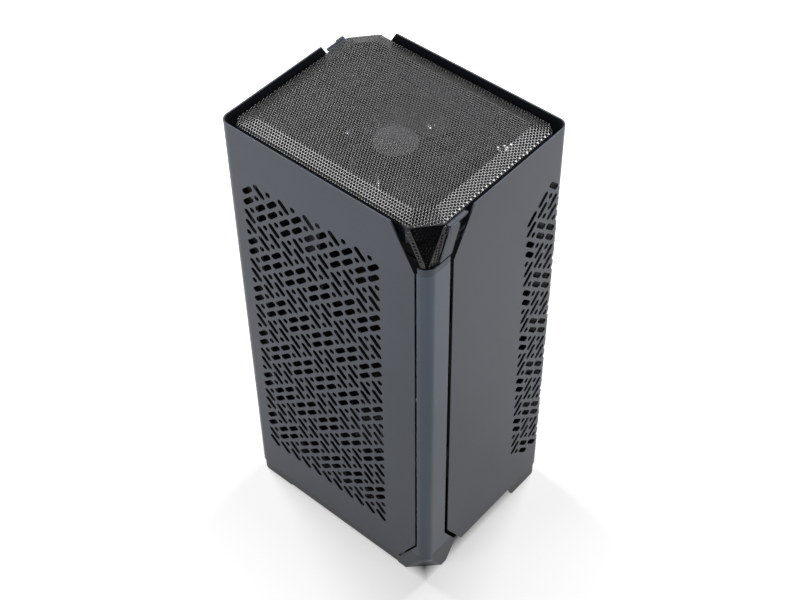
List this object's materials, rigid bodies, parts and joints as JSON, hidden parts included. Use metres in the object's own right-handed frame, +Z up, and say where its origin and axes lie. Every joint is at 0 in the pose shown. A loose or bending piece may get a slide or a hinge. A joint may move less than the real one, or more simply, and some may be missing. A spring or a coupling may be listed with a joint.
{
  "type": "mini itx pc case",
  "caption": "Compact upright computer case with two wrap-round slotted panels, two corner columns and a top exhaust fan under a folded mesh cover.",
  "frame": {"origin": "on the floor, under the middle of the case", "axes": "+Z up, -Y towards the front wide side, +X towards the right narrow side"},
  "size_m": [0.2106, 0.17, 0.445],
  "materials": {
    "gunmetal": "satin powder coat, blue-grey gunmetal",
    "base_moulding": "satin painted moulding, gunmetal",
    "rubber_pad": "matte black",
    "dark_steel": "fine-textured black powder coat",
    "pale_steel": "bare zinc-plated steel",
    "black_plastic": "matte black moulding",
    "bright_steel": "bright plated steel",
    "board_laminate": "green circuit board",
    "button_metal": "turned aluminium"
  },
  "bodies": {
    "chassis": {"front_column": "gunmetal", "rear_column": "gunmetal", "base_frame": "base_moulding", "rubber_feet": "rubber_pad", "base_plate": "dark_steel", "left_post": "dark_steel", "right_post": "dark_steel", "lower_deck": "dark_steel", "divider_wall": "dark_steel", "roof_plate": "pale_steel", "fan_tray": "dark_steel", "fan_frame": "black_plastic", "fan_hub_plate": "bright_steel", "fan_screws": "bright_steel", "supply_bracket": "dark_steel", "supply_screws": "bright_steel", "board_standoffs": "bright_steel", "slot_covers": "dark_steel", "slot_screws": "bright_steel", "mains_inlet": "black_plastic", "inlet_screws": "bright_steel", "control_housing": "black_plastic", "control_board": "board_laminate", "usb_sockets": "bright_steel", "usb_c_socket": "bright_steel", "audio_socket": "black_plastic", "button_switch": "black_plastic", "front_bracket": "dark_steel", "rear_bracket": "dark_steel"},
    "left_side": {"left_panel": "gunmetal", "left_panel_studs": "bright_steel"},
    "right_side": {"right_panel": "gunmetal", "right_panel_studs": "bright_steel"},
    "top_cover": {"cover_frame": "gunmetal", "cover_cheeks": "gunmetal", "cover_edges": "gunmetal", "cover_mesh": "gunmetal", "cover_pins": "black_plastic"},
    "rotor": {"fan_rotor": "black_plastic"},
    "button": {"power_button": "button_metal"}
  },
  "joints": [
    {"name": "left_panel_lift", "type": "slide", "parent": "chassis", "child": "left_side", "axis": [0, 0, 1], "range_m": [0, 0.012]},
    {"name": "right_panel_lift", "type": "slide", "parent": "chassis", "child": "right_side", "axis": [0, 0, 1], "range_m": [0, 0.012]},
    {"name": "cover_lift", "type": "slide", "parent": "chassis", "child": "top_cover", "axis": [0, 0, 1], "range_m": [0, 0.045]},
    {"name": "fan_spin", "type": "hinge", "parent": "chassis", "child": "rotor", "pos_m": [0.002, 0, 0.41], "axis": [0, 0, 1], "continuous": true},
    {"name": "power_press", "type": "slide", "parent": "chassis", "child": "button", "axis": [1, 0, 0], "range_m": [0, 0.0012], "stiffness_N_per_m": 600, "springref_m": -0.001}
  ]
}
